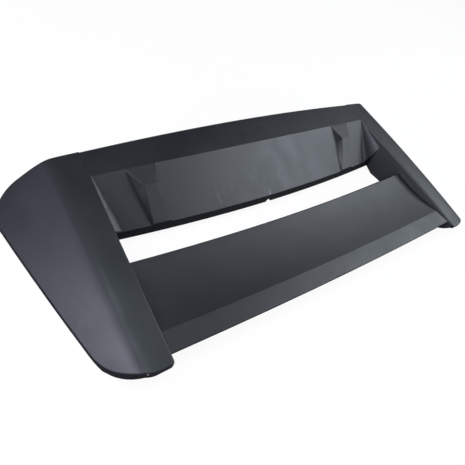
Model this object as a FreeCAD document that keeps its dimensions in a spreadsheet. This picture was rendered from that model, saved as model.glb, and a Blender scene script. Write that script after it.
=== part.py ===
"""Tailgate spoiler: one moulded body with two end pods, a base panel and a wing, and its inserts.

Millimetres. X runs across the car, +Y points to the roof, +Z up. The pods' rims lie on Z 0,
and the origin is at the middle of the part's box in plan.
"""
import FreeCAD
import Part
import Sketcher

import math
import os

V = FreeCAD.Vector

# Driving dimensions, in millimetres unless a name says otherwise
SIZES = {
    # Overall
    "depth": 415.0,
    "front_sweep": 4.5,
    "rim_half_width": 585.0,
    # Inner top edge of a pod, from the front edge to the rear tip
    "wall_half_front": 424.0,
    "wall_half_rear": 483.0,
    "wall_bow": 2.0,
    "wall_lean_deg": 8.0,
    "edge_height_front": 97.5,
    "edge_height_rear": 44.0,
    "edge_bow": 3.5,
    "edge_round": 3.5,
    # Outer skin of a pod: a strip along the inner edge, a soft crease, and a side that falls to the rim
    "strip_width": 65.0,
    "strip_fall": 1.5,
    "crease_softness": 12.0,
    "side_fullness": 1.3,
    "rim_height": 5.0,
    # Plan outline of a pod
    "front_corner": 48.0,
    "rear_corner_length": 84.0,
    "rear_corner_pull": 0.56,
    "rear_flat": 34.0,
    "rear_taper": 8.0,
    # Underside of a pod's rear tip
    "tip_height": 40.0,
    "tip_rise": 70.0,
    "tip_middle_rise": 26.6,
    "tip_middle_height": 12.0,
    "tip_thickness": 10.0,
    "tip_corner": 8.0,
    # Room for the tailgate under the pods' front: past the walls at its top, inside the rims at its foot
    "saddle_height": 70.0,
    "saddle_past_wall": 14.0,
    "saddle_inside_rim": 38.0,
    "saddle_rear": 35.0,
    # Base panel at the middle of the span, and how far each line moves towards the walls
    "nose_drop": 20.0,
    "nose_thickness": 10.0,
    "nose_round": 6.0,
    "band_crown": 8.0,
    "panel_top": 141.0,
    "panel_top_sweep": 6.0,
    "panel_low": 42.0,
    "panel_low_height": 34.0,
    "panel_low_sweep": 18.0,
    "panel_low_fall": 4.0,
    "panel_thickness": 12.0,
    "lip_height": 17.0,
    "lip_set_back": 3.5,
    "lip_width": 7.0,
    "notch_radius": 8.5,
    "notch_depth": 5.5,
    # Ridges on the base panel: half widths at the band, at the break and at the lower edge
    "ridge_inner_top": 286.0,
    "ridge_outer_top": 361.0,
    "ridge_inner_break": 306.0,
    "ridge_outer_break": 338.0,
    "ridge_inner_foot": 284.0,
    "ridge_outer_foot": 331.0,
    "ridge_length": 40.0,
    "ridge_rise": 16.0,
    "ridge_foot_rise": 4.0,
    "ridge_round": 2.0,
    # Hollow blend between the panel and a wall, which widens from the band to just before the lower edge
    "blend_start": 2.0,
    "blend_set_back": 2.0,
    "blend_width": 50.0,
    "blend_height": 36.0,
    # Wing by the walls, with its bow and sag at the middle of the span
    "wing_front": -19.6,
    "wing_front_height": 50.5,
    "wing_dip": -85.0,
    "wing_dip_height": 42.8,
    "wing_crest": -152.0,
    "wing_crest_height": 45.5,
    "wing_rear": -190.0,
    "wing_rear_height": 43.0,
    "wing_rear_edge": 6.0,
    "wing_thickness": 15.0,
    "wing_nose": 11.0,
    "wing_nose_reach": 4.4,
    "wing_nose_drop": 4.95,
    "wing_front_bow": 9.8,
    "wing_rear_bow": 4.0,
    "wing_sag": 2.0,
    # Fixing points and their threaded inserts
    "fixing_inboard": 22.0,
    "fixing_spacing": 200.0,
    "fixing_middle": -20.0,
    "fixing_recess": 24.0,
    "fixing_recess_depth": 2.0,
    "insert_diameter": 9.0,
    "insert_length": 12.0,
    "insert_bore": 6.0,
    "insert_flange": 13.0,
    "insert_flange_thickness": 1.5,
    # Making allowances: how far a joined form runs into its neighbour, and past a cut
    "seat": 2.0,
    "overcut": 10.0,
}

doc = FreeCAD.newDocument("tailgate_spoiler")
sheet = doc.addObject("Spreadsheet::Sheet", "sizes")
for row, (alias, value) in enumerate(SIZES.items(), start=1):
    sheet.set(f"A{row}", alias)
    sheet.set(f"B{row}", str(value))
    sheet.setAlias(f"B{row}", alias)
doc.recompute()


def size(alias):
    """Value of one driving dimension."""
    return float(sheet.get(alias))


front = size("depth") / 2
rear = -front
pod_front = front - size("front_sweep")
front_slope = 2 * size("front_sweep") / size("wall_half_front")
lean = math.tan(math.radians(size("wall_lean_deg")))
ceiling = size("edge_height_front") + size("band_crown") + size("overcut")


def along(y):
    """Share of the depth from the front edge to the rear tips."""
    return (front - y) / size("depth")


def bowed(start, end, bow, y):
    """Line from the front value to the rear value, bowed out between them."""
    share = along(y)
    return start + (end - start) * share + 4 * bow * share * (1 - share)


def wall_half(y):
    """Half width between the pods at their inner top edges."""
    return bowed(size("wall_half_front"), size("wall_half_rear"), size("wall_bow"), y)


def edge_height(y):
    """Height of a pod's inner top edge."""
    return bowed(size("edge_height_front"), size("edge_height_rear"), size("edge_bow"), y)


def rim_half(y):
    """Half width over the rims, with the side's taper carried on past the rear corner."""
    side_start = pod_front - size("front_corner")
    side_length = side_start - rear - size("rear_corner_length")
    return size("rim_half_width") - size("rear_taper") * (max(0.0, side_start - y) / side_length) ** 2


def front_line(x):
    """Place of a pod's swept front edge, at a distance from the middle of the span."""
    return pod_front - (x - size("wall_half_front")) * front_slope


def crease_ramp(out):
    """Rises hardly at all over the strip by a pod's inner edge, and evenly past its soft crease."""
    width, softness = size("strip_width"), size("crease_softness")
    return (out + math.hypot(out - width, softness) - math.hypot(width, softness)) / 2


def skin_height(out, y):
    """Height of a pod's skin at a distance outward from its inner top edge."""
    reach = rim_half(y) - wall_half(y)
    slope = size("strip_fall") / size("strip_width")
    drop = edge_height(y) - size("rim_height") - slope * reach
    share = max(0.0, crease_ramp(out) / crease_ramp(reach))
    return edge_height(y) - slope * out - drop * share ** size("side_fullness")


def spanwise(middle, change, x):
    """Value that changes along a parabola from the middle of the span towards the walls."""
    return middle + change * (x / size("wall_half_front")) ** 2


def segment(first, last):
    """Straight edge between two points."""
    return Part.LineSegment(first, last).toShape()


def wall_half_at(y, z):
    """Half width between the leaning inner walls at one height."""
    return wall_half(y) + lean * (z - edge_height(y))


def wall_curve(z, shift):
    """Edge along the leaning inner wall at one height, from rear to front, shifted outward."""
    steps = 6
    end = front_line(wall_half_at(pod_front, z))
    points = []
    for step in range(steps + 1):
        y = rear + (end - rear) * step / steps
        points.append(V(wall_half_at(y, z) + shift, y, z))
    curve = Part.BSplineCurve()
    curve.interpolate(Points=points)
    return curve.toShape()


def add_form(name, shape):
    """Put a free form into the document."""
    form = doc.addObject("Part::Feature", name)
    form.Shape = shape
    return form


def add_cut(name, base, tool):
    """Take one form away from another."""
    cut = doc.addObject("Part::Cut", name)
    cut.Base = base
    cut.Tool = tool
    return cut


def add_fillet(name, base, rounds):
    """Round some edges of a form, each given as its number and its two end radii."""
    fillet = doc.addObject("Part::Fillet", name)
    fillet.Base = base
    fillet.Edges = rounds
    doc.recompute()
    return fillet


def add_mirror(name, source):
    """The same form on the other side of the middle plane."""
    mirror = doc.addObject("Part::Mirroring", name)
    mirror.Source = source
    mirror.Normal = V(1, 0, 0)
    return mirror


def add_cylinder(name, radius, height, place):
    """Cylinder whose radius, height and place are expressions of the sheet."""
    cylinder = doc.addObject("Part::Cylinder", name)
    cylinder.setExpression("Radius", radius)
    cylinder.setExpression("Height", height)
    for axis, expression in zip("xyz", place):
        cylinder.setExpression(f"Placement.Base.{axis}", expression)
    return cylinder


# Pods


def rim_edges(z):
    """Outer edge of a pod in plan: round front corner, gently tapered side, soft rear corner."""
    corner = size("front_corner")
    rim = size("rim_half_width")
    taper = size("rear_taper")
    swept = math.atan(front_slope)
    front_heading = V(math.cos(swept), -math.sin(swept), 0)
    front_normal = V(math.sin(swept), math.cos(swept), 0)
    tangent = corner * math.tan((math.pi / 2 - swept) / 2)
    meeting = V(rim, front_line(rim), z)
    corner_start = meeting - front_heading * tangent
    side_start = meeting - V(0, tangent, 0)
    corner_middle = side_start + V(-corner, 0, 0) + (front_normal + V(1, 0, 0)).normalize() * corner
    side_end = V(rim - taper, rear + size("rear_corner_length"), z)
    side_length = side_start.y - side_end.y
    side_radius = (taper ** 2 + side_length ** 2) / (2 * taper)
    side_turn = math.asin(side_length / side_radius)
    half_turn = side_turn / 2
    side_middle = side_start - V(1 - math.cos(half_turn), math.sin(half_turn), 0) * side_radius
    rear_end = V(size("wall_half_rear") + size("rear_flat"), rear, z)
    side_heading = V(-math.sin(side_turn), -math.cos(side_turn), 0)
    pull = size("rear_corner_pull")
    rear_corner = Part.BezierCurve()
    rear_corner.setPoles([
        side_end,
        side_end + side_heading * pull * size("rear_corner_length"),
        rear_end + V(pull * (side_end.x - rear_end.x), 0, 0),
        rear_end,
    ])
    return [
        Part.Arc(corner_start, corner_middle, side_start).toShape(),
        Part.Arc(side_start, side_middle, side_end).toShape(),
        rear_corner.toShape(),
    ]


def pod_outline(z):
    """Closed plan outline of a pod at one height of its leaning wall."""
    wall = wall_curve(z, 0.0)
    rim = rim_edges(z)
    wall_rear, wall_front = (vertex.Point for vertex in wall.Vertexes)
    rim_front = rim[0].Vertexes[0].Point
    rim_rear = rim[-1].Vertexes[-1].Point
    return Part.Wire([segment(wall_front, rim_front), *rim, segment(rim_rear, wall_rear), wall])


def skin_block(drop):
    """Everything below the skin of a pod, or below the skin lowered by a drop."""
    margin = size("overcut")
    across, lengthwise = 14, 8
    ys = [rear - margin + (size("depth") + 2 * margin) * step / lengthwise for step in range(lengthwise + 1)]
    grid = []
    for step in range(across + 1):
        outs = [(rim_half(y) - wall_half(y) + 4 * margin) * step / across - 2 * margin for y in ys]
        grid.append([V(wall_half(y) + out, y, skin_height(out, y) - drop) for y, out in zip(ys, outs)])
    skin = Part.BSplineSurface()
    skin.interpolate(grid)
    return skin.toShape().extrude(V(0, 0, -3 * ceiling))


def tip_room():
    """What is cleared below a rear tip, so that it thins out behind the wing."""
    start = V(0, rear + size("tip_rise"), 0)
    middle = V(0, rear + size("tip_middle_rise"), size("tip_middle_height"))
    end = V(0, rear, size("tip_height"))
    past = V(0, -size("overcut"), 0)
    below = V(0, 0, -size("overcut"))
    corner = V(0, rear, 0) + past + below
    outline = Part.Wire([
        Part.Arc(start, middle, end).toShape(),
        segment(end, end + past),
        segment(end + past, corner),
        segment(corner, start + below),
        segment(start + below, start),
    ])
    sweep = Part.Face(outline).extrude(V(size("rim_half_width") + size("overcut"), 0, 0))
    return sweep.common(skin_block(size("tip_thickness")))


def saddle_section(y, height, half_top, half_foot):
    """Outline of the tailgate's room in one plane across the car."""
    foot = -size("overcut")
    points = [V(-half_foot, y, foot), V(half_foot, y, foot), V(half_top, y, height), V(-half_top, y, height)]
    return Part.makePolygon(points + points[:1])


def saddle():
    """Wedge of room for the tailgate between the pods, tall at the front and closing rearward."""
    half_top = size("wall_half_front") + size("saddle_past_wall")
    half_foot = size("rim_half_width") - size("saddle_inside_rim")
    at_front = saddle_section(front + size("overcut"), size("saddle_height"), half_top, half_foot)
    at_rear = saddle_section(size("saddle_rear"), 0.0, half_top, half_top + size("overcut"))
    return Part.makeLoft([at_rear, at_front], True, True)


def middle_normal(face):
    """Outward direction at the middle of a face."""
    first_u, last_u, first_v, last_v = face.ParameterRange
    return face.normalAt((first_u + last_u) / 2, (first_v + last_v) / 2)


def skin_edge_rounds(shape):
    """Edges round the upper face of a pod, with their end radii."""
    side_tilt = math.sin(math.radians(size("wall_lean_deg") + 1))
    upper = [face for face in shape.Faces if middle_normal(face).z > side_tilt]
    skin = max(upper, key=lambda face: face.Area)
    radius = size("edge_round")
    return [
        (number, radius, radius)
        for number, edge in enumerate(shape.Edges, start=1)
        if any(edge.isSame(border) for border in skin.Edges)
    ]


def tip_edge_rounds(shape):
    """The upright edge between the inner wall and the rear end of a pod, with its end radii."""
    uprights = [edge for edge in shape.Edges if abs(edge.tangentAt(edge.FirstParameter).z) > 0.9]
    corner = V(wall_half(rear), rear, 0)
    nearest = min(uprights, key=lambda edge: edge.CenterOfMass.distanceToPoint(corner))
    radius = size("tip_corner")
    return [
        (number, radius, radius)
        for number, edge in enumerate(shape.Edges, start=1)
        if edge.isSame(nearest)
    ]


outline_block = Part.makeLoft([pod_outline(0.0), pod_outline(ceiling)], True, True)
pod_blank = add_form("pod_blank", outline_block.common(skin_block(0.0)).Solids[0])
pod_cornered = add_fillet("pod_cornered", pod_blank, tip_edge_rounds(pod_blank.Shape))
pod_rounded = add_fillet("pod_rounded", pod_cornered, skin_edge_rounds(pod_cornered.Shape))
pod_tipped = add_cut("pod_tipped", pod_rounded, add_form("tip_room", tip_room()))
right_pod = add_cut("right_pod", pod_tipped, add_form("saddle", saddle()))
left_pod = add_mirror("left_pod", right_pod)


# Base panel


def between_walls():
    """Room between the two inner walls, running a little into each pod and past the front."""
    outlines = []
    for z in (-size("overcut"), ceiling):
        right = wall_curve(z, size("seat"))
        left = right.mirror(V(0, 0, 0), V(1, 0, 0))
        right_rear, right_front = (vertex.Point for vertex in right.Vertexes)
        left_rear, left_front = V(-right_rear.x, rear, z), V(-right_front.x, right_front.y, z)
        ahead = V(0, size("front_sweep") + size("overcut"), 0)
        outlines.append(Part.Wire([
            segment(left_front, left_front + ahead),
            segment(left_front + ahead, right_front + ahead),
            segment(right_front + ahead, right_front),
            right,
            segment(right_rear, left_rear),
            left,
        ]))
    return Part.makeLoft(outlines, True, True)


def band_height(x, y):
    """Height of the band, level with the pods' edges by the walls and crowned between them."""
    return edge_height(y) + spanwise(size("band_crown"), -size("band_crown"), x)


def panel_point(x, share):
    """Point of the panel's slope, from its top line at 0 to its lower edge at 1."""
    top_y = spanwise(size("panel_top"), size("panel_top_sweep"), x)
    top = V(x, top_y, band_height(x, top_y))
    low = V(
        x,
        spanwise(size("panel_low"), size("panel_low_sweep"), x),
        spanwise(size("panel_low_height"), -size("panel_low_fall"), x),
    )
    return top + (low - top) * share


def panel_section(x):
    """Outline of the base panel in one plane along the car: nose, band, panel, lip and underside."""
    radius = size("nose_round")
    nose_front = spanwise(front, -size("front_sweep"), x)
    crest = band_height(x, nose_front - radius)
    down = V(0, 0, -size("panel_thickness"))
    nose_back = nose_front - size("nose_thickness")
    nose_foot = crest - size("nose_drop")
    top, low = panel_point(x, 0.0), panel_point(x, 1.0)
    lip = low + V(0, -size("lip_set_back"), -size("lip_height"))
    round_start = V(x, nose_front - radius, crest)
    round_middle = V(x, nose_front - radius * (1 - math.sqrt(0.5)), crest - radius * (1 - math.sqrt(0.5)))
    round_end = V(x, nose_front, crest - radius)
    corners = [
        round_start,
        top,
        low,
        lip,
        lip + V(0, size("lip_width"), 0),
        top + down,
        V(x, nose_back, crest) + down,
        V(x, nose_back, nose_foot),
        V(x, nose_front, nose_foot),
        round_end,
    ]
    edges = [segment(first, last) for first, last in zip(corners, corners[1:])]
    return Part.Wire(edges + [Part.Arc(round_end, round_middle, round_start).toShape()])


span_end = size("wall_half_rear") + 2 * size("overcut")
stations = (-span_end, 0.0, span_end)
room = between_walls()
panel_run = Part.makeLoft([panel_section(x) for x in stations], True)
panel_plain = add_form("panel_plain", panel_run.common(room))
notch = add_cylinder(
    "notch",
    "sizes.notch_radius",
    "sizes.lip_set_back + sizes.lip_width + 2 * sizes.overcut",
    (
        "0",
        "sizes.panel_low + sizes.lip_width + sizes.overcut",
        "sizes.panel_low_height - sizes.lip_height - sizes.notch_radius + sizes.notch_depth",
    ),
)
notch.Placement.Rotation = FreeCAD.Rotation(V(1, 0, 0), 90)
panel = add_cut("panel", panel_plain, notch)


def ridge_section(top_halves, foot_halves, share, rise):
    """Four-sided outline across a ridge, its foot sunk in the panel."""
    sunk = V(0, 0, -size("panel_thickness") / 2)
    points = [panel_point(half, share) + sunk for half in foot_halves]
    points += [panel_point(half, share) + V(0, 0, rise) for half in reversed(top_halves)]
    return Part.makePolygon(points + points[:1])


def ridge():
    """Tapered ridge that carries the band on rearward and then falls to the panel's lower edge."""
    share = size("ridge_length") / (size("panel_top") - size("panel_low"))
    at_band = [size("ridge_inner_top"), size("ridge_outer_top")]
    at_break = [size("ridge_inner_break"), size("ridge_outer_break")]
    at_foot = [size("ridge_inner_foot"), size("ridge_outer_foot")]
    flanks = [band + (foot - band) * share for band, foot in zip(at_band, at_foot)]
    sections = [
        ridge_section(at_band, at_band, 0.0, 0.0),
        ridge_section(at_break, flanks, share, size("ridge_rise")),
        ridge_section(at_foot, at_foot, 1.0, size("ridge_foot_rise")),
    ]
    return Part.makeLoft(sections, True, True)


def above_panel(point):
    """Whether a point lies higher than the panel's slope there."""
    top, low = panel_point(point.x, 0.0), panel_point(point.x, 1.0)
    return point.z > panel_point(point.x, (top.y - point.y) / (top.y - low.y)).z


def ridge_edge_rounds(shape):
    """The edges that run along the top of a ridge, with their end radii."""
    radius = size("ridge_round")
    return [
        (number, radius, radius)
        for number, edge in enumerate(shape.Edges, start=1)
        if abs(edge.tangentAt(edge.FirstParameter).y) > 0.5 and above_panel(edge.CenterOfMass)
    ]


ridge_blank = add_form("ridge_blank", ridge())
right_ridge = add_fillet("right_ridge", ridge_blank, ridge_edge_rounds(ridge_blank.Shape))
left_ridge = add_mirror("left_ridge", right_ridge)


def wall_point(y, z):
    """Point of the right inner wall."""
    return V(wall_half_at(y, z), y, z)


def blend_section(share, width, height):
    """Outline of the hollow blend at one share of the panel's slope, sunk in the panel and the wall."""
    middle = 1 - math.sqrt(0.5)
    guess = panel_point(wall_half(size("panel_low")), share)
    corner = panel_point(wall_point(guess.y, guess.z).x, share)
    on_panel = panel_point(corner.x - width, share)
    outward = (corner - on_panel) / width
    on_wall = corner + outward * lean * height + V(0, 0, height)
    hollow = corner + (on_panel - corner) * middle + (on_wall - corner) * middle
    sunk = V(0, 0, -size("panel_thickness") / 2)
    into_pod = outward * size("seat")
    return Part.Wire([
        Part.Arc(on_panel, hollow, on_wall).toShape(),
        segment(on_wall, on_wall + into_pod),
        segment(on_wall + into_pod, corner + into_pod + sunk),
        segment(corner + into_pod + sunk, on_panel + sunk),
        segment(on_panel + sunk, on_panel),
    ])


def blend():
    """Hollow blend between the panel and the right inner wall."""
    start = size("blend_start")
    at_band = blend_section(0.0, start, start)
    slope_length = panel_point(0.0, 0.0).distanceToPoint(panel_point(0.0, 1.0))
    foot = 1 - size("blend_set_back") / slope_length
    at_foot = blend_section(foot, size("blend_width"), size("blend_height"))
    return Part.makeLoft([at_band, at_foot], True, True)


right_blend = add_form("right_blend", blend())
left_blend = add_mirror("left_blend", right_blend)


# Wing


def wing_section(x):
    """Outline of the wing: hollow top, crest, flat lip band, blunt rear edge, full underside."""
    from_wall = (x / size("wall_half_front")) ** 2 - 1
    chord = size("wing_front") - size("wing_rear")

    def at(y, z):
        rearward = (size("wing_front") - y) / chord
        bow = size("wing_front_bow") + (size("wing_rear_bow") - size("wing_front_bow")) * rearward
        return V(x, y, z) + V(0, bow, size("wing_sag")) * from_wall

    nose_top = at(size("wing_front"), size("wing_front_height"))
    nose_tip = at(
        size("wing_front") + size("wing_nose_reach"),
        size("wing_front_height") - size("wing_nose_drop"),
    )
    nose_foot = at(size("wing_front"), size("wing_front_height") - size("wing_nose"))
    dip = at(size("wing_dip"), size("wing_dip_height"))
    crest = at(size("wing_crest"), size("wing_crest_height"))
    rear_top = at(size("wing_rear"), size("wing_rear_height"))
    rear_foot = at(size("wing_rear"), size("wing_rear_height") - size("wing_rear_edge"))
    belly = at(size("wing_dip"), size("wing_dip_height") - size("wing_thickness"))
    return Part.Wire([
        Part.Arc(nose_top, dip, crest).toShape(),
        segment(crest, rear_top),
        segment(rear_top, rear_foot),
        Part.Arc(rear_foot, belly, nose_foot).toShape(),
        Part.Arc(nose_foot, nose_tip, nose_top).toShape(),
    ])


wing = add_form("wing", Part.makeLoft([wing_section(x) for x in stations], True).common(room))

moulding = doc.addObject("Part::MultiFuse", "moulding")
moulding.Shapes = [right_pod, left_pod, panel, right_ridge, left_ridge, right_blend, left_blend, wing]


# Fixing points


def insert_blank():
    """One threaded insert, flange down, turned about its own axis."""
    body = doc.addObject("PartDesign::Body", "insert")
    plane = next(item for item in body.Origin.OriginFeatures if item.Role == "XZ_Plane")
    sketch = body.newObject("Sketcher::SketchObject", "insert_profile")
    sketch.AttachmentSupport = [(plane, "")]
    sketch.MapMode = "FlatFace"
    bore = size("insert_bore") / 2
    barrel = size("insert_diameter") / 2
    flange = size("insert_flange") / 2
    step = size("insert_flange_thickness")
    top = size("insert_length")
    corners = [V(bore, 0), V(flange, 0), V(flange, step), V(barrel, step), V(barrel, top), V(bore, top)]
    count = len(corners)
    for index in range(count):
        sketch.addGeometry(Part.LineSegment(corners[index], corners[(index + 1) % count]))
    for index in range(count):
        sketch.addConstraint(Sketcher.Constraint("Coincident", index, 2, (index + 1) % count, 1))
        sketch.addConstraint(Sketcher.Constraint("Vertical" if index % 2 else "Horizontal", index))
    origin = -1
    sketch.addConstraint(Sketcher.Constraint("PointOnObject", 0, 1, origin))
    drives = [
        ("DistanceX", 0, bore, "sizes.insert_bore / 2"),
        ("DistanceX", 1, flange, "sizes.insert_flange / 2"),
        ("DistanceX", 3, barrel, "sizes.insert_diameter / 2"),
        ("DistanceY", 2, step, "sizes.insert_flange_thickness"),
        ("DistanceY", 4, top, "sizes.insert_length"),
    ]
    for kind, line, start, expression in drives:
        number = sketch.addConstraint(Sketcher.Constraint(kind, origin, 1, line, 1, start))
        sketch.setExpression(f"Constraints[{number}]", expression)
    turned = body.newObject("PartDesign::Revolution", "insert_turned")
    turned.Profile = sketch
    turned.ReferenceAxis = (sketch, ["V_Axis"])
    turned.Angle = 360
    doc.recompute()
    return body


fixing_half = "((sizes.wall_half_rear + sizes.rim_half_width) / 2 - sizes.fixing_inboard)"
fixings = [
    (f"{side} * {fixing_half}", f"sizes.fixing_middle {end} sizes.fixing_spacing / 2")
    for side in ("1", "-1")
    for end in ("+", "-")
]
floor = "sizes.fixing_recess_depth"
recesses, flange_seats, barrel_seats = [], [], []
for number, (across, lengthwise) in enumerate(fixings, start=1):
    recesses.append(add_cylinder(
        f"fixing_recess_{number}", "sizes.fixing_recess / 2", f"{floor} + sizes.overcut",
        (across, lengthwise, "-sizes.overcut"),
    ))
    flange_seats.append(add_cylinder(
        f"flange_seat_{number}", "sizes.insert_flange / 2", "sizes.insert_flange_thickness",
        (across, lengthwise, floor),
    ))
    barrel_seats.append(add_cylinder(
        f"barrel_seat_{number}", "sizes.insert_diameter / 2", "sizes.insert_length",
        (across, lengthwise, floor),
    ))
insert = insert_blank()
insert_seats = doc.addObject("Part::MultiFuse", "insert_seats")
insert_seats.Shapes = recesses + flange_seats + barrel_seats
spoiler_body = add_cut("spoiler_body", moulding, insert_seats)
doc.recompute()

inserts = [insert.Shape.translated(seat.Placement.Base) for seat in barrel_seats]
threaded_inserts = add_form("threaded_inserts", Part.makeCompound(inserts))
doc.recompute()

for item in doc.Objects:
    if "Invalid" in item.State or "Error" in item.State:
        raise RuntimeError(f"{item.Label} did not build: {item.State}")
os.makedirs("parts", exist_ok=True)
for node, solids in ((spoiler_body, 1), (threaded_inserts, len(fixings))):
    shape = node.Shape
    if shape.isNull() or not shape.isValid() or len(shape.Solids) != solids:
        raise RuntimeError(f"{node.Label} is not whole: {len(shape.Solids)} solids")
    shape.exportStep(f"parts/{node.Label}.step")
    print(node.Label, round(shape.Volume), "mm3", shape.optimalBoundingBox())
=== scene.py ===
"""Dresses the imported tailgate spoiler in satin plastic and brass, in a pale studio.

Metres, in the part's own frame: X across the car, +Y towards the roof, +Z up, rims on Z 0.
"""
from __future__ import annotations

import logging
import math
from dataclasses import dataclass, field
from enum import Enum

import bmesh
import bpy
from mathutils import Matrix, Vector


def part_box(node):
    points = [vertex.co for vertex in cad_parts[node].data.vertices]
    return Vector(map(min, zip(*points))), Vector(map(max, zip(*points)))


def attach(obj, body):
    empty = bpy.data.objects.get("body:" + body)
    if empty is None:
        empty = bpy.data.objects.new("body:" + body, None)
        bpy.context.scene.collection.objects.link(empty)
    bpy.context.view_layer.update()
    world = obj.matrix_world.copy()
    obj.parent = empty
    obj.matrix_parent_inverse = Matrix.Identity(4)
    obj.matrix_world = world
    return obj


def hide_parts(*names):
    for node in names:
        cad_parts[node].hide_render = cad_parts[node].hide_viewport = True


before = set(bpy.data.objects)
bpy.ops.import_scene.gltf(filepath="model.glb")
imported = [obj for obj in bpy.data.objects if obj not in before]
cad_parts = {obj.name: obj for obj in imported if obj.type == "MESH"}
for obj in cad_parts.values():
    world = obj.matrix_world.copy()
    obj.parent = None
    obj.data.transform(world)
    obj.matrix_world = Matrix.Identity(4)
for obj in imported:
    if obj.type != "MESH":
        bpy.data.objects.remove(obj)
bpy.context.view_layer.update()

log = logging.getLogger("tailgate_spoiler")

Colour = tuple[float, float, float]
Point = tuple[float, float, float]
Socket = bpy.types.NodeSocket

EVEN: Point = (1.0, 1.0, 1.0)
UNMOVED: Point = (0.0, 0.0, 0.0)
WHITE: Colour = (1.0, 1.0, 1.0)
COOL: Colour = (0.92, 1.00, 1.10)
TEAL: Colour = (0.84, 1.00, 1.08)
VIOLET: Colour = (0.97, 0.97, 1.17)
BODY = "root"
BODY_NODE = "spoiler_body"
INSERT_NODE = "threaded_inserts"


class Slot(Enum):
    """Material slots of the record that the pieces take their finish from."""

    PLASTIC = "satin_plastic"
    BRASS = "insert_brass"


class Step(Enum):
    """Steps of arithmetic between the values of nodes."""

    ADD = "ADD"
    SUBTRACT = "SUBTRACT"
    MULTIPLY = "MULTIPLY"
    DIVIDE = "DIVIDE"
    HIGHER = "MAXIMUM"
    BELOW = "LESS_THAN"
    SIZE = "ABSOLUTE"
    FRACTION = "FRACT"
    SINE = "SINE"
    COSINE = "COSINE"


@dataclass(frozen=True)
class Mark:
    """One small mark on the plastic.

    Attributes:
        centre: Where it is, in the part's frame.
        radius: Where it has faded out.
        cover: How much of the mark's colour shows at its middle.
        stretch: Factor along each axis that narrows it.
    """

    centre: Point
    radius: float
    cover: float
    stretch: Point = EVEN


@dataclass(frozen=True)
class Patchiness:
    """How a random field is spread over a surface.

    Attributes:
        scale: Features in a metre, after the stretch.
        detail: Octaves of finer features.
        low: Level of the field at which a patch starts.
        high: Level at which it is full.
        stretch: Factor along each axis before the field is read.
    """

    scale: float
    detail: float
    low: float
    high: float
    stretch: Point = EVEN


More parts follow.
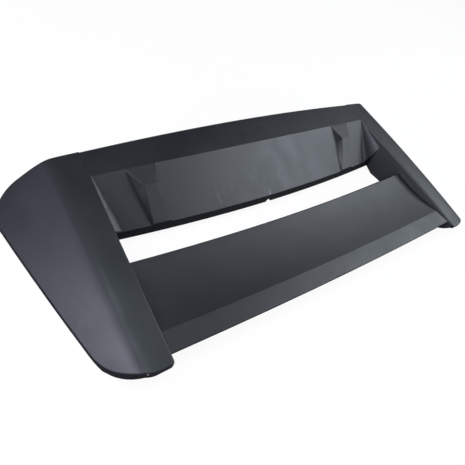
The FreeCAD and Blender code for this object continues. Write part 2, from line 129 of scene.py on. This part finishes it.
class NodeGraph:
    """Fills the node tree of a material, of the room or of a modifier.

    Attributes:
        tree: The node tree that the nodes are added to.
    """

    MIX_BELOW, MIX_ABOVE, MIX_COLOUR = 6, 7, 2

    def __init__(self, tree: bpy.types.NodeTree) -> None:
        """Empties the tree.

        Args:
            tree: The node tree to fill.
        """
        self.tree = tree
        self.tree.nodes.clear()

    def add(self, kind: str, **settings: object) -> bpy.types.Node:
        """Adds one node.

        Args:
            kind: Blender's name of the node type.
            **settings: Properties of the node to set.

        Returns:
            The new node.
        """
        node = self.tree.nodes.new(kind)
        for name, value in settings.items():
            setattr(node, name, value)
        return node

    def join(self, start: Socket, end: Socket) -> None:
        """Links an output to an input."""
        self.tree.links.new(start, end)

    def feed(self, socket: Socket, value: object) -> None:
        """Sets an input, or links it where the value is a socket.

        Args:
            socket: The input to fill.
            value: A number, a vector, a colour or another node's output.
        """
        if isinstance(value, bpy.types.NodeSocket):
            self.join(value, socket)
        else:
            socket.default_value = value

    def place(self, scale: Point = EVEN, shift: Point = UNMOVED) -> Socket:
        """Object coordinates, stretched and shifted.

        Args:
            scale: Factor along each axis.
            shift: Move along each axis, after the factor.

        Returns:
            The mapped vector.
        """
        coordinates = self.add("ShaderNodeTexCoord")
        mapping = self.add("ShaderNodeMapping")
        mapping.inputs["Scale"].default_value = scale
        mapping.inputs["Location"].default_value = shift
        self.join(coordinates.outputs["Object"], mapping.inputs["Vector"])
        return mapping.outputs["Vector"]

    def noise(self, vector: Socket, scale: float, detail: float) -> Socket:
        """Soft random field between 0 and 1.

        Args:
            vector: Where the field is read.
            scale: Features in a metre.
            detail: Octaves of finer features.

        Returns:
            The field's value.
        """
        texture = self.add("ShaderNodeTexNoise")
        texture.inputs["Scale"].default_value = scale
        texture.inputs["Detail"].default_value = detail
        self.join(vector, texture.inputs["Vector"])
        return texture.outputs["Fac"]

    def span(
        self, value: object, low: float, high: float, to_low: float = 0.0, to_high: float = 1.0
    ) -> Socket:
        """Maps one range on another, easing in and out, and stops at its ends.

        Args:
            value: The value to map.
            low: Start of the range.
            high: End of the range.
            to_low: What the start becomes.
            to_high: What the end becomes.

        Returns:
            The mapped value.
        """
        node = self.add("ShaderNodeMapRange", interpolation_type="SMOOTHSTEP", clamp=True)
        self.feed(node.inputs["Value"], value)
        node.inputs["From Min"].default_value = low
        node.inputs["From Max"].default_value = high
        node.inputs["To Min"].default_value = to_low
        node.inputs["To Max"].default_value = to_high
        return node.outputs["Result"]

    def patches(self, spread: Patchiness, bare: float = 0.0, full: float = 1.0) -> Socket:
        """Random patches over the surface.

        Args:
            spread: How they are spread.
            bare: Value between the patches.
            full: Value in the patches.

        Returns:
            The patches' value.
        """
        level = self.noise(self.place(spread.stretch), spread.scale, spread.detail)
        return self.span(level, spread.low, spread.high, bare, full)

    def reckon(self, step: Step, first: object, second: object = 0.0) -> Socket:
        """One step of arithmetic.

        Args:
            step: What is done.
            first: Left value.
            second: Right value, where the step has one.

        Returns:
            The result.
        """
        node = self.add("ShaderNodeMath", operation=step.value)
        self.feed(node.inputs[0], first)
        self.feed(node.inputs[1], second)
        return node.outputs[0]

    def plus(self, first: object, second: object) -> Socket:
        """Sum of two values."""
        return self.reckon(Step.ADD, first, second)

    def minus(self, first: object, second: object) -> Socket:
        """Difference of two values."""
        return self.reckon(Step.SUBTRACT, first, second)

    def times(self, first: object, second: object) -> Socket:
        """Product of two values."""
        return self.reckon(Step.MULTIPLY, first, second)

    def higher(self, first: object, second: object) -> Socket:
        """Higher of two values."""
        return self.reckon(Step.HIGHER, first, second)

    def tint(self, factor: object, first: object, second: object) -> Socket:
        """Lays one colour over another.

        Args:
            factor: How much of the second shows.
            first: Colour below.
            second: Colour above.

        Returns:
            The mixed colour.
        """
        node = self.add("ShaderNodeMix", data_type="RGBA")
        self.feed(node.inputs["Factor"], factor)
        self.feed(node.inputs[self.MIX_BELOW], first)
        self.feed(node.inputs[self.MIX_ABOVE], second)
        return node.outputs[self.MIX_COLOUR]

    def spot(self, mark: Mark) -> Socket:
        """Soft round field about a mark's middle.

        Args:
            mark: The mark.

        Returns:
            The mark's cover at its middle, falling to 0 at its radius.
        """
        shift = tuple(-place * factor for place, factor in zip(mark.centre, mark.stretch))
        length = self.add("ShaderNodeVectorMath", operation="LENGTH")
        self.join(self.place(mark.stretch, shift), length.inputs[0])
        return self.times(self.span(length.outputs["Value"], mark.radius, 0.0), mark.cover)

    def broken_line(self, value: Socket, points: list[tuple[float, float]]) -> Socket:
        """Value along a line of straight runs.

        Args:
            value: Where the line is read, from 0 to 1.
            points: Corners of the line, both values from 0 to 1.

        Returns:
            The line's value.
        """
        node = self.add("ShaderNodeFloatCurve")
        line = node.mapping.curves[0]
        for place, level in points[1:-1]:
            line.points.new(place, level)
        for point, (place, level) in zip(line.points, points):
            point.location = (place, level)
            point.handle_type = "VECTOR"
        node.mapping.update()
        self.join(value, node.inputs["Value"])
        return node.outputs["Value"]

    def tooth(self, value: Socket) -> Socket:
        """Wave of straight flanks, from 0 to 1 and back over each whole step of the value.

        Args:
            value: Steps along the wave.

        Returns:
            The wave's height.
        """
        slope = self.minus(self.times(self.reckon(Step.FRACTION, value), 2.0), 1.0)
        return self.minus(1.0, self.reckon(Step.SIZE, slope))


def rgba(colour: Colour) -> tuple[float, float, float, float]:
    """The colour with full cover."""
    return (*colour, 1.0)


def grey(level: float) -> tuple[float, float, float, float]:
    """An even grey with full cover."""
    return rgba((level, level, level))


def start_material(slot: Slot) -> tuple[bpy.types.Material, NodeGraph, bpy.types.Node]:
    """Starts a material with one principled shader.

    Args:
        slot: The record's slot that names it.

    Returns:
        The material, its nodes and its shader.
    """
    material = bpy.data.materials.new(slot.value)
    material.use_nodes = True
    graph = NodeGraph(material.node_tree)
    shader = graph.add("ShaderNodeBsdfPrincipled")
    output = graph.add("ShaderNodeOutputMaterial")
    graph.join(shader.outputs["BSDF"], output.inputs["Surface"])
    return material, graph, shader


@dataclass(frozen=True)
class SatinPlastic:
    """Grained black plastic of the moulding, wiped and a little dusty.

    Attributes:
        colour: Linear colour of the plastic.
        pale: Linear colour where its surface is cloudy or dusty.
        dark: Linear colour of the blotches on the band.
        chalk: Linear colour of scuffs and specks.
        film: Linear colour of the wiped film.
        cloud: Spread of the cloudiness.
        cloud_cover: How much of the pale colour the cloudiness shows.
        dust: Spread of the dust.
        dust_cover: How much of the pale colour the dust shows.
        strokes: Spread of a cloth's straight strokes.
        swirls: Spread of its turns.
        roughness: Roughness of the clean surface.
        roughness_spread: How far the roughness wanders to each side.
        wander: Where the roughness wanders.
        film_roughness: What the film adds to the roughness.
        grain: Grains of the moulded texture in a metre.
        grain_detail: Octaves of finer grain.
        grain_depth: Height of the grain.
        wipes: Patches that a cloth has left streaked.
        blotches: Dark blotches on the band.
        scuffs: Chalky scuffs and specks.
    """

    colour: Colour = (0.0095, 0.0105, 0.0120)
    pale: Colour = (0.0330, 0.0340, 0.0370)
    dark: Colour = (0.0040, 0.0045, 0.0050)
    chalk: Colour = (0.55, 0.55, 0.56)
    film: Colour = (0.085, 0.085, 0.089)
    cloud: Patchiness = Patchiness(9.0, 4.0, 0.35, 0.70)
    cloud_cover: float = 0.15
    dust: Patchiness = Patchiness(420.0, 1.0, 0.72, 0.78)
    dust_cover: float = 0.35
    strokes: Patchiness = Patchiness(1.0, 4.0, 0.50, 0.72, (70.0, 6.0, 6.0))
    swirls: Patchiness = Patchiness(1.0, 2.0, 0.48, 0.66, (90.0, 45.0, 45.0))
    roughness: float = 0.42
    roughness_spread: float = 0.03
    wander: Patchiness = Patchiness(24.0, 5.0, 0.30, 0.70)
    film_roughness: float = 0.08
    grain: float = 1400.0
    grain_detail: float = 2.0
    grain_depth: float = 0.00002
    wipes: tuple[Mark, ...] = (
        Mark((-0.080, 0.075, 0.055), 0.240, 0.15, (1.0, 3.0, 3.0)),
        Mark((-0.151, 0.070, 0.050), 0.034, 0.50, (2.2, 1.0, 1.0)),
        Mark((0.047, 0.070, 0.052), 0.034, 0.50, (1.4, 1.0, 1.0)),
        Mark((-0.005, 0.052, 0.041), 0.030, 0.70, (0.9, 1.0, 1.0)),
        Mark((-0.567, -0.074, 0.022), 0.060, 0.16),
    )
    blotches: tuple[Mark, ...] = (
        Mark((-0.0223, 0.1668, 0.1013), 0.022, 0.8, (0.8, 1.6, 1.0)),
        Mark((0.0377, 0.1743, 0.1020), 0.018, 0.8, (0.8, 1.8, 1.0)),
    )
    scuffs: tuple[Mark, ...] = (
        Mark((-0.0005, 0.0447, 0.0357), 0.0045, 0.20, (0.6, 1.0, 1.0)),
        Mark((-0.5361, -0.2030, 0.0403), 0.0026, 0.70),
    )

    def streaks(self, graph: NodeGraph) -> Socket:
        """Where a cloth has left its film.

        Args:
            graph: The material's nodes.

        Returns:
            How much of the film shows.
        """
        wiped: object = 0.0
        for mark in self.wipes:
            wiped = graph.higher(graph.spot(mark), wiped)
        cloth = graph.higher(graph.patches(self.strokes), graph.patches(self.swirls))
        return graph.times(wiped, cloth)

    def skin_colour(self, graph: NodeGraph, streaks: Socket) -> Socket:
        """Colour of the plastic with its cloudiness, dust and marks.

        Args:
            graph: The material's nodes.
            streaks: How much of the film shows.

        Returns:
            The colour.
        """
        cloudy = graph.times(graph.patches(self.cloud), self.cloud_cover)
        dusty = graph.times(graph.patches(self.dust), self.dust_cover)
        colour = graph.tint(cloudy, rgba(self.colour), rgba(self.pale))
        colour = graph.tint(dusty, colour, rgba(self.pale))
        colour = graph.tint(streaks, colour, rgba(self.film))
        for marks, shade in ((self.blotches, self.dark), (self.scuffs, self.chalk)):
            for mark in marks:
                colour = graph.tint(graph.spot(mark), colour, rgba(shade))
        return colour

    def build(self) -> bpy.types.Material:
        """Makes the material.

        Returns:
            The finished material.
        """
        material, graph, shader = start_material(Slot.PLASTIC)
        streaks = self.streaks(graph)
        graph.join(self.skin_colour(graph, streaks), shader.inputs["Base Color"])

        smoothest = self.roughness - self.roughness_spread
        roughest = self.roughness + self.roughness_spread
        clean = graph.patches(self.wander, smoothest, roughest)
        filmed = graph.plus(clean, graph.times(streaks, self.film_roughness))
        graph.join(filmed, shader.inputs["Roughness"])

        bump = graph.add("ShaderNodeBump")
        bump.inputs["Strength"].default_value = 1.0
        bump.inputs["Distance"].default_value = self.grain_depth
        height = graph.noise(graph.place(), self.grain, self.grain_detail)
        graph.join(height, bump.inputs["Height"])
        graph.join(bump.outputs["Normal"], shader.inputs["Normal"])
        return material


@dataclass(frozen=True)
class TurnedBrass:
    """Turned brass of the inserts.

    Attributes:
        colour: Linear colour of the metal.
        stain: Linear colour of its tarnish.
        tarnish: Spread of the tarnish.
        roughness: Roughness of the turned surface.
        stain_roughness: Roughness of the tarnish.
    """

    colour: Colour = (0.60, 0.42, 0.16)
    stain: Colour = (0.22, 0.13, 0.05)
    tarnish: Patchiness = Patchiness(220.0, 4.0, 0.45, 0.75)
    roughness: float = 0.32
    stain_roughness: float = 0.52

    def build(self) -> bpy.types.Material:
        """Makes the material.

        Returns:
            The finished material.
        """
        material, graph, shader = start_material(Slot.BRASS)
        shader.inputs["Metallic"].default_value = 1.0
        dulled = graph.patches(self.tarnish)
        colour = graph.tint(dulled, rgba(self.colour), rgba(self.stain))
        roughness = graph.span(dulled, 0.0, 1.0, self.roughness, self.stain_roughness)
        graph.join(colour, shader.inputs["Base Color"])
        graph.join(roughness, shader.inputs["Roughness"])
        return material


@dataclass(frozen=True)
class SoftBox:
    """One large soft lamp that faces the part.

    Attributes:
        name: Name of the lamp.
        azimuth_deg: Direction in plan, from +X towards +Y.
        elevation_deg: Direction above the floor.
        radiance: Brightness of its face.
        colour: Linear colour of its light.
        distance: How far it is from the part's middle.
        side: Side of its square face.
    """

    name: str
    azimuth_deg: float
    elevation_deg: float
    radiance: float
    colour: Colour
    distance: float = 2.4
    side: float = 0.95

    def build(self) -> bpy.types.Object:
        """Hangs the lamp.

        Returns:
            The lamp's object.
        """
        data = bpy.data.lights.new(self.name, "AREA")
        data.shape = "SQUARE"
        data.size = self.side
        data.energy = self.radiance * math.pi * self.side ** 2
        data.color = self.colour
        lamp = bpy.data.objects.new(self.name, data)
        bpy.context.scene.collection.objects.link(lamp)
        turn = Matrix.Rotation(math.radians(self.azimuth_deg), 3, "Z")
        rise = Matrix.Rotation(-math.radians(self.elevation_deg), 3, "Y")
        outward = turn @ rise @ Vector((1.0, 0.0, 0.0))
        lamp.location = outward * self.distance
        lamp.rotation_euler = (-outward).to_track_quat("-Z", "Y").to_euler()
        return lamp


@dataclass
class Studio:
    """Pale floor, pale far wall and soft lamps.

    Attributes:
        floor_size: Side of the square floor.
        floor_glow: Share of the floor's white that shadows don't reach.
        floor_bounce: Grey of the floor as the part's underside sees it, and as near reflections
            see it.
        contact_shade: Distances over which the floor's reflection goes from painted shade, the
            dull grey floor, to white.
        ambient: Grey level of the dim room.
        wall_top: Sine of the height up to which the part's reflections show the pale wall.
        lamps: The soft lamps.
    """

    floor_size: float = 16.0
    floor_glow: float = 0.93
    floor_bounce: float = 0.10
    contact_shade: tuple[float, float] = (0.20, 0.70)
    ambient: float = 0.01
    wall_top: float = 0.10
    lamps: list[SoftBox] = field(default_factory=lambda: [
        SoftBox("right_low", -35, 15, 6.4, COOL),
        SoftBox("right_middle", -35, 38, 0.9, COOL),
        SoftBox("right_high", -12, 35, 5.2, COOL),
        SoftBox("right_front", 8, 35, 1.4, COOL),
        SoftBox("overhead", 0, 88, 4.6, TEAL),
        SoftBox("left_low", 176, 12, 5.2, VIOLET),
        SoftBox("left_middle", 174, 32, 5.2, VIOLET),
        SoftBox("left_rear", -172, 45, 1.8, VIOLET),
        SoftBox("left_high", 180, 62, 3.3, VIOLET),
        SoftBox("left_front", 150, 50, 1.2, VIOLET),
        SoftBox("camera_side", -160, 27, 3.4, VIOLET),
    ])

    @staticmethod
    def seen_white(graph: NodeGraph, path: bpy.types.Node, mirrored: Socket) -> Socket:
        """Which rays see the studio's white.

        Args:
            graph: The nodes to add to.
            path: The light path's node.
            mirrored: How much of the white a reflection shows.

        Returns:
            1 for the camera's rays and those through glass, and the share of a reflection.
        """
        glossy = graph.times(path.outputs["Is Glossy Ray"], mirrored)
        seen = graph.higher(path.outputs["Is Camera Ray"], glossy)
        return graph.higher(seen, path.outputs["Is Transmission Ray"])

    def floor_material(self) -> bpy.types.Material:
        """White floor that keeps a faint shadow.

        Returns:
            The floor's material.
        """
        material = bpy.data.materials.new("studio_floor")
        material.use_nodes = True
        graph = NodeGraph(material.node_tree)
        path = graph.add("ShaderNodeLightPath")
        # Painted contact shade: a reflection that meets the floor nearer than contact_shade sees
        # the dull grey floor, lit by the lamps, in place of the white one.
        open_floor = graph.span(path.outputs["Ray Length"], *self.contact_shade)
        paint = graph.add("ShaderNodeBsdfDiffuse")
        glow = graph.add("ShaderNodeEmission")
        pale = graph.add("ShaderNodeMixShader")
        dull = graph.add("ShaderNodeBsdfDiffuse")
        either = graph.add("ShaderNodeMixShader")
        output = graph.add("ShaderNodeOutputMaterial")
        paint.inputs["Color"].default_value = rgba(WHITE)
        dull.inputs["Color"].default_value = grey(self.floor_bounce)
        pale.inputs["Fac"].default_value = self.floor_glow
        graph.join(paint.outputs["BSDF"], pale.inputs[1])
        graph.join(glow.outputs["Emission"], pale.inputs[2])
        graph.join(self.seen_white(graph, path, open_floor), either.inputs["Fac"])
        graph.join(dull.outputs["BSDF"], either.inputs[1])
        graph.join(pale.outputs["Shader"], either.inputs[2])
        graph.join(either.outputs["Shader"], output.inputs["Surface"])
        return material

    def floor(self) -> bpy.types.Object:
        """Lays the floor under the rims.

        Returns:
            The floor's object.
        """
        half = self.floor_size / 2
        corners = [(-half, -half, 0), (half, -half, 0), (half, half, 0), (-half, half, 0)]
        mesh = bpy.data.meshes.new("studio_floor")
        mesh.from_pydata(corners, [], [(0, 1, 2, 3)])
        mesh.materials.append(self.floor_material())
        floor = bpy.data.objects.new("studio_floor", mesh)
        bpy.context.scene.collection.objects.link(floor)
        return floor

    def room(self) -> bpy.types.World:
        """Dim room whose far wall, seen past the floor's edge, is as pale as the floor.

        Returns:
            The room's world.
        """
        world = bpy.data.worlds.new("studio_room")
        world.use_nodes = True
        graph = NodeGraph(world.node_tree)
        path = graph.add("ShaderNodeLightPath")
        heading = graph.add("ShaderNodeTexCoord").outputs["Generated"]
        split = graph.add("ShaderNodeSeparateXYZ")
        graph.join(heading, split.inputs["Vector"])
        wall = graph.span(split.outputs["Z"], self.wall_top, 0.0)
        seen = self.seen_white(graph, path, wall)
        background = graph.add("ShaderNodeBackground")
        output = graph.add("ShaderNodeOutputWorld")
        shade = graph.tint(seen, grey(self.ambient), grey(self.floor_glow))
        graph.join(shade, background.inputs["Color"])
        graph.join(background.outputs["Background"], output.inputs["Surface"])
        return world

    def build(self) -> None:
        """Lays the floor, hangs the lamps and sets the room."""
        self.floor()
        for lamp in self.lamps:
            lamp.build()
        bpy.context.scene.world = self.room()


@dataclass
class PhotoCamera:
    """Camera behind, left of and above the part.

    Attributes:
        station: Where the camera stands.
        aim: The point on its axis.
        roll_deg: Turn about its axis.
        focal: Focal length in millimetres.
        sensor: Width of the square sensor in millimetres.
    """

    station: Point = (-1.1473, -0.4725, 0.8917)
    aim: Point = (-0.1216, 0.0092, -0.0130)
    roll_deg: float = 34.3
    focal: float = 54.19
    sensor: float = 36.0

    def build(self) -> bpy.types.Object:
        """Sets the camera up and makes it the scene's own.

        Returns:
            The camera's object.
        """
        data = bpy.data.cameras.new("photo_camera")
        data.sensor_fit = "HORIZONTAL"
        data.sensor_width = self.sensor
        data.lens = self.focal
        camera = bpy.data.objects.new("photo_camera", data)
        bpy.context.scene.collection.objects.link(camera)
        sight = Vector(self.aim) - Vector(self.station)
        heading = sight.to_track_quat("-Z", "Y").to_matrix().to_4x4()
        roll = Matrix.Rotation(math.radians(self.roll_deg), 4, "Z")
        camera.matrix_world = Matrix.Translation(self.station) @ heading @ roll
        bpy.context.scene.camera = camera
        return camera


@dataclass
class Moulding:
    """The one-piece body of the spoiler.

    Attributes:
        finish: Its plastic.
    """

    finish: SatinPlastic = field(default_factory=SatinPlastic)

    def dress(self) -> bpy.types.Object:
        """Gives the body its plastic.

        Returns:
            The body's object.
        """
        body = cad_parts[BODY_NODE]
        body.data.materials.clear()
        body.data.materials.append(self.finish.build())
        return body


@dataclass
class InsertSet:
    """Threaded inserts moulded into the undersides of the pods.

    Attributes:
        finish: Their brass.
        bore: Radius inside the thread.
        barrel: Radius over the knurls.
        flange: Radius of the flange.
        flange_height: Height of the flange.
        length: Length from the flange's face to the far end.
        chamfer: Width of the broken edges.
        thread_depth: Depth of the thread.
        thread_pitch: Rise of the thread in one turn.
        knurl_depth: Depth of the knurls.
        knurls: Number of knurls round the barrel.
        around: Points round an insert.
        along: Points along its outline.
        bore_band: Share of the bore's radius within which the outline counts as bore.
        barrel_band: Share of the barrel's radius within which it counts as barrel.
        weld: Distance within which the points of the seam are merged.
    """

    finish: TurnedBrass = field(default_factory=TurnedBrass)
    bore: float = 0.0030
    barrel: float = 0.0045
    flange: float = 0.0065
    flange_height: float = 0.0015
    length: float = 0.0120
    chamfer: float = 0.0003
    thread_depth: float = 0.0004
    thread_pitch: float = 0.0010
    knurl_depth: float = 0.0003
    knurls: int = 24
    around: int = 72
    along: int = 176
    bore_band: float = 1.02
    barrel_band: float = 0.01
    weld: float = 0.000002

    def seats(self) -> list[Point]:
        """Middle of each insert's flange face.

        Returns:
            The four points.
        """
        low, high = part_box(INSERT_NODE)
        return [
            (x, y, low[2])
            for x in (low[0] + self.flange, high[0] - self.flange)
            for y in (low[1] + self.flange, high[1] - self.flange)
        ]

    def outline(self) -> list[tuple[float, float, float]]:
        """Turned outline of an insert, once round and back to its start.

        Returns:
            For each corner, its share of the way round, of the flange's radius and of the length.
        """
        cut = self.chamfer
        corners = [
            (self.bore, cut),
            (self.bore, self.length - cut),
            (self.bore + cut, self.length),
            (self.barrel - cut, self.length),
            (self.barrel, self.length - cut),
            (self.barrel, self.flange_height),
            (self.flange - cut, self.flange_height),
            (self.flange, self.flange_height - cut),
            (self.flange, cut),
            (self.flange - cut, 0.0),
            (self.bore + cut, 0.0),
            (self.bore, cut),
        ]
        runs = [math.dist(first, last) for first, last in zip(corners, corners[1:])]
        whole = sum(runs)
        return [
            (sum(runs[:number]) / whole, radius / self.flange, height / self.length)
            for number, (radius, height) in enumerate(corners)
        ]

    def sizes(self) -> dict[str, float | int]:
        """Inputs of the node tree.

        Returns:
            Each input's name with its value.
        """
        return {
            "Flange": self.flange,
            "Length": self.length,
            "Bore": self.bore,
            "Barrel": self.barrel,
            "Thread Depth": self.thread_depth,
            "Thread Pitch": self.thread_pitch,
            "Knurl Depth": self.knurl_depth,
            "Knurls": self.knurls,
            "Around": self.around,
            "Along": self.along,
        }

    def open_tree(self) -> bpy.types.NodeTree:
        """Starts the node tree with its named inputs and its output.

        Returns:
            The empty tree.
        """
        group = bpy.data.node_groups.new("insert_set", "GeometryNodeTree")
        inputs = {"Seats": "NodeSocketGeometry"}
        for name, value in self.sizes().items():
            inputs[name] = "NodeSocketInt" if isinstance(value, int) else "NodeSocketFloat"
        inputs["Finish"] = "NodeSocketMaterial"
        for name, kind in inputs.items():
            group.interface.new_socket(name, in_out="INPUT", socket_type=kind)
        group.interface.new_socket("Inserts", in_out="OUTPUT", socket_type="NodeSocketGeometry")
        return group

    def turned_place(self, graph: NodeGraph, given: bpy.types.NodeOutputs) -> Socket:
        """Where each point of a flat square lies on the turned insert.

        Args:
            graph: The tree's nodes.
            given: The tree's inputs.

        Returns:
            The point's place.
        """
        split = graph.add("ShaderNodeSeparateXYZ")
        flat = graph.add("GeometryNodeInputPosition").outputs["Position"]
        graph.join(flat, split.inputs["Vector"])
        half_side = 0.5
        way = graph.plus(split.outputs["X"], half_side)
        turn = graph.plus(split.outputs["Y"], half_side)
        corners = self.outline()
        out = graph.broken_line(way, [(share, radius) for share, radius, _ in corners])
        up = graph.broken_line(way, [(share, height) for share, _, height in corners])
        radius = graph.times(out, given["Flange"])
        height = graph.times(up, given["Length"])

        bore_edge = graph.times(given["Bore"], self.bore_band)
        in_bore = graph.reckon(Step.BELOW, radius, bore_edge)
        climb = graph.minus(graph.reckon(Step.DIVIDE, height, given["Thread Pitch"]), turn)
        thread = graph.times(graph.tooth(climb), graph.times(given["Thread Depth"], in_bore))
        off_barrel = graph.reckon(Step.SIZE, graph.minus(radius, given["Barrel"]))
        barrel_edge = graph.times(given["Barrel"], self.barrel_band)
        on_barrel = graph.reckon(Step.BELOW, off_barrel, barrel_edge)
        rib = graph.tooth(graph.times(turn, given["Knurls"]))
        knurl = graph.times(rib, graph.times(given["Knurl Depth"], on_barrel))
        radius = graph.minus(graph.plus(radius, thread), knurl)

        angle = graph.times(turn, math.tau)
        place = graph.add("ShaderNodeCombineXYZ")
        graph.join(graph.times(radius, graph.reckon(Step.COSINE, angle)), place.inputs["X"])
        graph.join(graph.times(radius, graph.reckon(Step.SINE, angle)), place.inputs["Y"])
        graph.join(height, place.inputs["Z"])
        return place.outputs["Vector"]

    def tree(self) -> bpy.types.NodeTree:
        """Geometry nodes that turn one insert and set it on each seat.

        Returns:
            The node tree.
        """
        group = self.open_tree()
        graph = NodeGraph(group)
        given = graph.add("NodeGroupInput").outputs
        result = graph.add("NodeGroupOutput")

        grid = graph.add("GeometryNodeMeshGrid")
        graph.join(given["Along"], grid.inputs["Vertices X"])
        graph.join(given["Around"], grid.inputs["Vertices Y"])
        shape = graph.add("GeometryNodeSetPosition")
        graph.join(grid.outputs["Mesh"], shape.inputs["Geometry"])
        graph.join(self.turned_place(graph, given), shape.inputs["Position"])
        closed = graph.add("GeometryNodeMergeByDistance")
        closed.inputs["Distance"].default_value = self.weld
        graph.join(shape.outputs["Geometry"], closed.inputs["Geometry"])

        spread = graph.add("GeometryNodeInstanceOnPoints")
        graph.join(given["Seats"], spread.inputs["Points"])
        graph.join(closed.outputs["Geometry"], spread.inputs["Instance"])
        real = graph.add("GeometryNodeRealizeInstances")
        graph.join(spread.outputs["Instances"], real.inputs["Geometry"])
        dressed = graph.add("GeometryNodeSetMaterial")
        graph.join(real.outputs["Geometry"], dressed.inputs["Geometry"])
        graph.join(given["Finish"], dressed.inputs["Material"])
        graph.join(dressed.outputs["Geometry"], result.inputs["Inserts"])
        return group

    def dress(self) -> bpy.types.Object:
        """Builds the inserts in brass in place of the plain ones.

        Returns:
            The inserts' object.
        """
        brass = self.finish.build()
        mesh = bpy.data.meshes.new("insert_seats")
        mesh.from_pydata(self.seats(), [], [])
        piece = bpy.data.objects.new("brass_inserts", mesh)
        bpy.context.scene.collection.objects.link(piece)
        modifier = piece.modifiers.new("insert_set", "NODES")
        modifier.node_group = self.tree()
        values = {**self.sizes(), "Finish": brass}
        for item in modifier.node_group.interface.items_tree:
            if item.name in values:
                modifier[item.identifier] = values[item.name]
        seen = piece.evaluated_get(bpy.context.evaluated_depsgraph_get())
        solid = bpy.data.meshes.new_from_object(seen)
        piece.modifiers.clear()
        piece.data = solid
        solid.materials.clear()
        solid.materials.append(brass)
        face_outwards(solid)
        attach(piece, BODY)
        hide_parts(INSERT_NODE)
        return piece


def face_outwards(mesh: bpy.types.Mesh, crease_deg: float = 35.0) -> None:
    """Turns the faces of closed shells outwards and smooths all but their sharp edges.

    Args:
        mesh: The mesh to finish.
        crease_deg: Angle past which an edge stays sharp.
    """
    work = bmesh.new()
    work.from_mesh(mesh)
    bmesh.ops.recalc_face_normals(work, faces=work.faces)
    work.to_mesh(mesh)
    work.free()
    mesh.shade_smooth()
    mesh.set_sharp_from_angle(angle=math.radians(crease_deg))


def main() -> None:
    """Dresses the part and sets up the studio."""
    logging.basicConfig(level=logging.INFO, format="%(name)s: %(message)s")
    bpy.context.scene.view_settings.view_transform = "Standard"
    PhotoCamera().build()
    Studio().build()
    for part in (Moulding(), InsertSet()):
        piece = part.dress()
        log.info("%s dressed with %s", piece.name, piece.data.materials[0].name)


if __name__ == "__main__":
    main()
